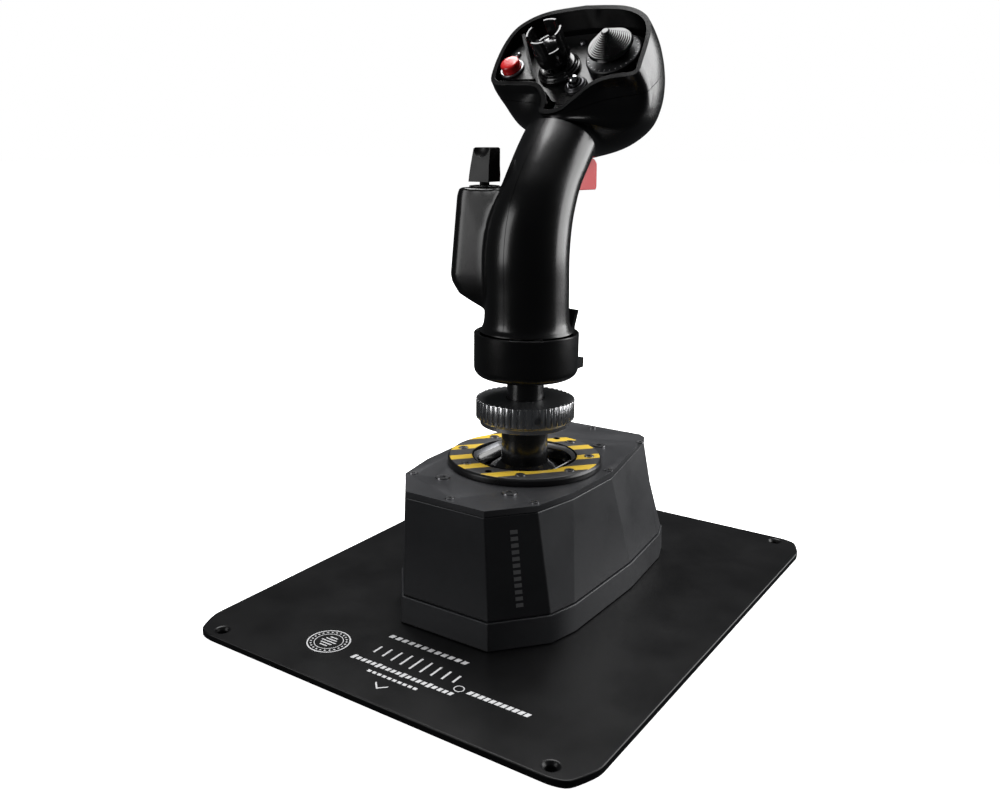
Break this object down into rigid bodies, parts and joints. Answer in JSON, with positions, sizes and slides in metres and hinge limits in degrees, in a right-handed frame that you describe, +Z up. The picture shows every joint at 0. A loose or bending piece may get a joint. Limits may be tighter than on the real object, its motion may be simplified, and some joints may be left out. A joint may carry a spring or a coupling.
{
  "type": "flight joystick",
  "caption": "Desk flight joystick: hand grip with hats, trigger and paddle on a two-axis gimbal base, striped ring and wide steel desk plate",
  "frame": {"origin": "on the desk, under the middle of the plate", "axes": "+Z up along the stick at rest, +Y away from the user, +X to the user's right"},
  "size_m": [0.2262, 0.289, 0.3147],
  "materials": {
    "board": "solder mask",
    "grey_metal": "fine-texture dark grey coat",
    "gloss_black": "gloss moulded",
    "steel": "plain machined",
    "black_plate": "satin black powder coat",
    "silver": "machined, knurled edge",
    "grip_black": "satin moulded",
    "red": "satin moulded",
    "rubber": "matt",
    "stripe": "yellow and black hazard stripes",
    "dial_grey": "silvered print"
  },
  "bodies": {
    "base": {"base_circuit_board": "board", "base_housing": "grey_metal", "base_skirt": "grey_metal", "chassis": "steel", "desk_plate": "black_plate", "gate_bowl": "gloss_black", "lid_plate": "grey_metal", "lid_screw_1": "steel", "lid_screw_2": "steel", "lid_screw_3": "steel", "lid_screw_4": "steel", "pitch_bearing_left": "steel", "pitch_bearing_right": "steel", "pitch_bracket_left": "steel", "pitch_bracket_right": "steel", "pitch_sensor": "board", "pitch_spring": "steel", "rubber_pad": "rubber", "striped_ring": "stripe", "usb_socket": "steel"},
    "pitch_frame": {"gimbal_ring": "steel", "roll_bearing_front": "steel", "roll_bearing_back": "steel", "roll_spring": "steel"},
    "stick": {"stick_hub": "steel", "stick_shaft": "gloss_black", "dome_cover": "gloss_black", "grip_collar": "grip_black", "grip_plug": "steel", "paddle_pin": "steel", "grip_left_shell": "grip_black", "grip_right_shell": "grip_black", "wire_tube": "grip_black", "head_cover": "grip_black", "head_bezel": "grip_black", "switch_panel": "gloss_black", "side_pocket": "gloss_black", "grip_circuit_board": "board", "castle_base_ring": "gloss_black", "trim_dial": "dial_grey", "event_bezel": "steel", "red_button_bezel": "steel", "panel_screw": "steel", "pocket_screw": "steel", "trigger_pin": "steel", "select_washer": "gloss_black"},
    "locking_ring": {"knurled_ring": "silver"},
    "trigger": {"trigger": "red"},
    "paddle": {"paddle_lever": "grip_black"},
    "castle_gimbal": {"castle_pivot": "steel"},
    "castle": {"castle_hat": "gloss_black"},
    "trim_gimbal": {"trim_pivot": "steel"},
    "trim": {"trim_hat": "grip_black"},
    "select_gimbal": {"select_pivot": "steel"},
    "select": {"select_lever": "gloss_black"},
    "event_button": {"event_button": "silver"},
    "red_button": {"red_button": "red"}
  },
  "joints": [
    {"name": "stick_pitch", "type": "hinge", "parent": "base", "child": "pitch_frame", "pos_m": [0, -0.0045, 0.052], "axis": [1, 0, 0], "range_deg": [-16, 16], "stiffness_Nm_per_rad": 4},
    {"name": "stick_roll", "type": "hinge", "parent": "pitch_frame", "child": "stick", "pos_m": [0, -0.0045, 0.052], "axis": [0, 1, 0], "range_deg": [-16, 16], "stiffness_Nm_per_rad": 4},
    {"name": "locking_ring_turn", "type": "hinge", "parent": "stick", "child": "locking_ring", "pos_m": [0, -0.0045, 0.106], "axis": [0, 0, 1], "continuous": true},
    {"name": "trigger_pull", "type": "hinge", "parent": "stick", "child": "trigger", "pos_m": [0.0006, 0.027, 0.243], "axis": [-1, 0, 0], "range_deg": [0, 10], "stiffness_Nm_per_rad": 0.4},
    {"name": "paddle_squeeze", "type": "hinge", "parent": "stick", "child": "paddle", "pos_m": [0, 0.0265, 0.128], "axis": [1, 0, 0], "range_deg": [0, 4], "stiffness_Nm_per_rad": 0.6},
    {"name": "event_press", "type": "slide", "parent": "stick", "child": "event_button", "axis": [0, 0.7071, -0.7071], "range_m": [0, 0.0008], "stiffness_N_per_m": 400},
    {"name": "red_press", "type": "slide", "parent": "stick", "child": "red_button", "axis": [0, 0.7071, -0.7071], "range_m": [0, 0.0015], "stiffness_N_per_m": 300},
    {"name": "select_fore_aft", "type": "hinge", "parent": "stick", "child": "select_gimbal", "pos_m": [-0.0276, -0.0035, 0.216], "axis": [1, 0, 0], "range_deg": [-7, 7], "stiffness_Nm_per_rad": 0.2},
    {"name": "select_side", "type": "hinge", "parent": "select_gimbal", "child": "select", "pos_m": [-0.0276, -0.0035, 0.216], "axis": [0, 1, 0], "range_deg": [-6, 6], "stiffness_Nm_per_rad": 0.2},
    {"name": "castle_up_down", "type": "hinge", "parent": "stick", "child": "castle_gimbal", "pos_m": [-0.0064, 0.04428, 0.27735], "axis": [1, 0, 0], "range_deg": [-8, 8], "stiffness_Nm_per_rad": 0.15},
    {"name": "castle_left_right", "type": "hinge", "parent": "castle_gimbal", "child": "castle", "pos_m": [-0.0064, 0.04428, 0.27735], "axis": [0, 0.7071, 0.7071], "range_deg": [-8, 8], "stiffness_Nm_per_rad": 0.15},
    {"name": "trim_up_down", "type": "hinge", "parent": "stick", "child": "trim_gimbal", "pos_m": [0.0256, 0.04633, 0.2794], "axis": [1, 0, 0], "range_deg": [-8, 8], "stiffness_Nm_per_rad": 0.15},
    {"name": "trim_left_right", "type": "hinge", "parent": "trim_gimbal", "child": "trim", "pos_m": [0.0256, 0.04633, 0.2794], "axis": [0, 0.7071, 0.7071], "range_deg": [-8, 8], "stiffness_Nm_per_rad": 0.15}
  ]
}
